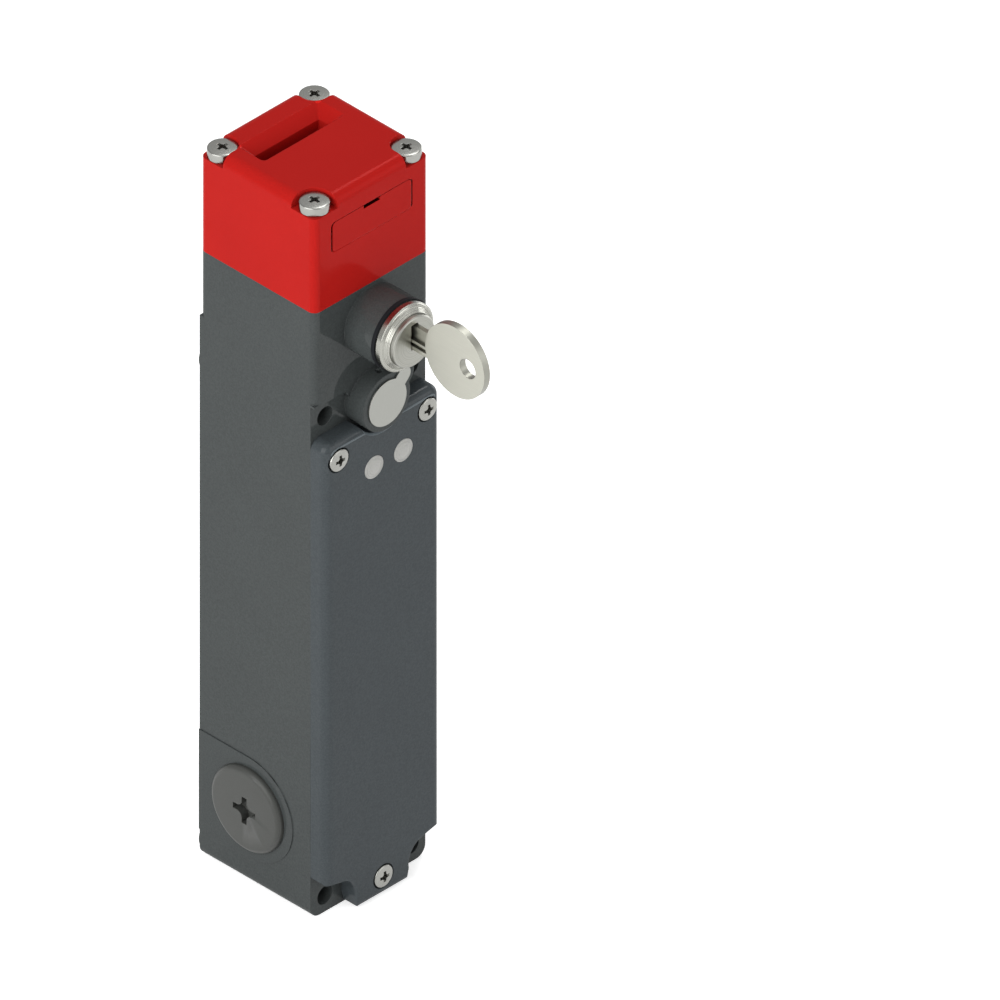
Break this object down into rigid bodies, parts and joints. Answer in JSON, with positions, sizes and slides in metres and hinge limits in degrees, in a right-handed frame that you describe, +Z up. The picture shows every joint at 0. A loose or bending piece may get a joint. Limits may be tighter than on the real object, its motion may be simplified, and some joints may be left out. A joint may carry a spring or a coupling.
{
  "type": "guard locking switch",
  "caption": "Tall cast guard locking switch with a red head for a door's tongue, a screwed cover, a key lock and a sealed tool release.",
  "frame": {"origin": "centre of the base plane, at the mouth of the bottom cable entry", "axes": "+Z up the case to the head, -Y out of the cover, lock and key, +Y into the mounting surface"},
  "size_m": [0.0442, 0.0805, 0.2147],
  "materials": {
    "case_paint": "satin grey-black enamel with a faint gloss",
    "cover_paint": "satin grey-black enamel with a faint gloss",
    "head_red": "semi-gloss red enamel",
    "cap_red": "semi-gloss moulded red",
    "screw_steel": "zinc plated, turned",
    "plug_resin": "satin moulded grey-black",
    "ring_black": "satin black",
    "lock_chrome": "polished plate",
    "barrel_chrome": "satin plate",
    "key_nickel": "nickel plated, fine brush lines",
    "plate_chrome": "satin plate",
    "lens_grey": "frosted light grey",
    "seal_rubber": "matt black",
    "brass_screw": "turned",
    "bush_brass": "turned",
    "inner_steel": "zinc plated",
    "plunger_steel": "ground",
    "drum_steel": "sintered and hardened",
    "drum_resin": "natural moulded resin",
    "block_resin": "moulded dark grey",
    "bobbin_resin": "moulded black",
    "coil_copper": "enamelled wire",
    "board_green": "solder-masked board",
    "lamp_white": "moulded"
  },
  "bodies": {
    "case": {"body_casting": "case_paint", "head_casting": "head_red", "head_seal": "seal_rubber", "head_screws": "screw_steel", "front_slot_cap": "cap_red", "cam_axle": "inner_steel", "axle_saddles": "drum_resin", "cover": "cover_paint", "cover_gasket": "seal_rubber", "cover_screws": "screw_steel", "left_lens": "lens_grey", "right_lens": "lens_grey", "indicator_board": "board_green", "indicator_lamps": "lamp_white", "left_entry_plug": "plug_resin", "right_entry_plug": "plug_resin", "left_plug_seal": "seal_rubber", "right_plug_seal": "seal_rubber", "lock_ring": "ring_black", "lock_bezel": "lock_chrome", "solenoid_frame": "inner_steel", "solenoid_bobbin": "bobbin_resin", "solenoid_coil": "coil_copper", "solenoid_pole": "inner_steel", "plunger_spring": "inner_steel", "plunger_bush": "bush_brass", "left_contact_block": "block_resin", "right_contact_block": "block_resin", "terminal_clamps": "inner_steel", "terminal_screws": "brass_screw", "earth_terminal": "brass_screw", "block_screws": "inner_steel", "frame_screws": "inner_steel"},
    "cam": {"cam_drum": "drum_steel"},
    "plunger": {"locking_plunger": "plunger_steel", "contact_yoke": "drum_resin"},
    "lock": {"lock_barrel": "barrel_chrome", "lock_key": "key_nickel", "lock_clip": "inner_steel", "lock_cam": "inner_steel"},
    "slider": {"release_slider": "inner_steel"},
    "release": {"release_screw": "brass_screw", "release_ring": "seal_rubber"},
    "seal_flap": {"seal_plate": "plate_chrome"}
  },
  "joints": [
    {"name": "cam_turn", "type": "hinge", "parent": "case", "child": "cam", "pos_m": [0, 0, 0.195], "axis": [-1, 0, 0], "range_deg": [0, 55]},
    {"name": "plunger_slide", "type": "slide", "parent": "case", "child": "plunger", "axis": [0, 0, 1], "range_m": [0, 0.0036], "deforming": ["plunger_spring"]},
    {"name": "lock_turn", "type": "hinge", "parent": "case", "child": "lock", "pos_m": [0, -0.02, 0.1724], "axis": [0, 1, 0], "range_deg": [0, 180]},
    {"name": "release_slide", "type": "slide", "parent": "case", "child": "slider", "axis": [0, 0, -1], "range_m": [0, 0.003]},
    {"name": "release_screw_turn", "type": "hinge", "parent": "case", "child": "release", "pos_m": [0, -0.02, 0.1494], "axis": [0, 1, 0], "range_deg": [0, 180]},
    {"name": "seal_plate_swing", "type": "hinge", "parent": "case", "child": "seal_flap", "pos_m": [0.00565, -0.025, 0.15505], "axis": [0, -1, 0], "range_deg": [0, 90]}
  ],
  "couplings": [
    {"joint": "cam_turn", "follows": "plunger_slide", "rad_per_m": 266.62},
    {"joint": "release_slide", "follows": "lock_turn", "m_per_rad": 0.00095483}
  ]
}
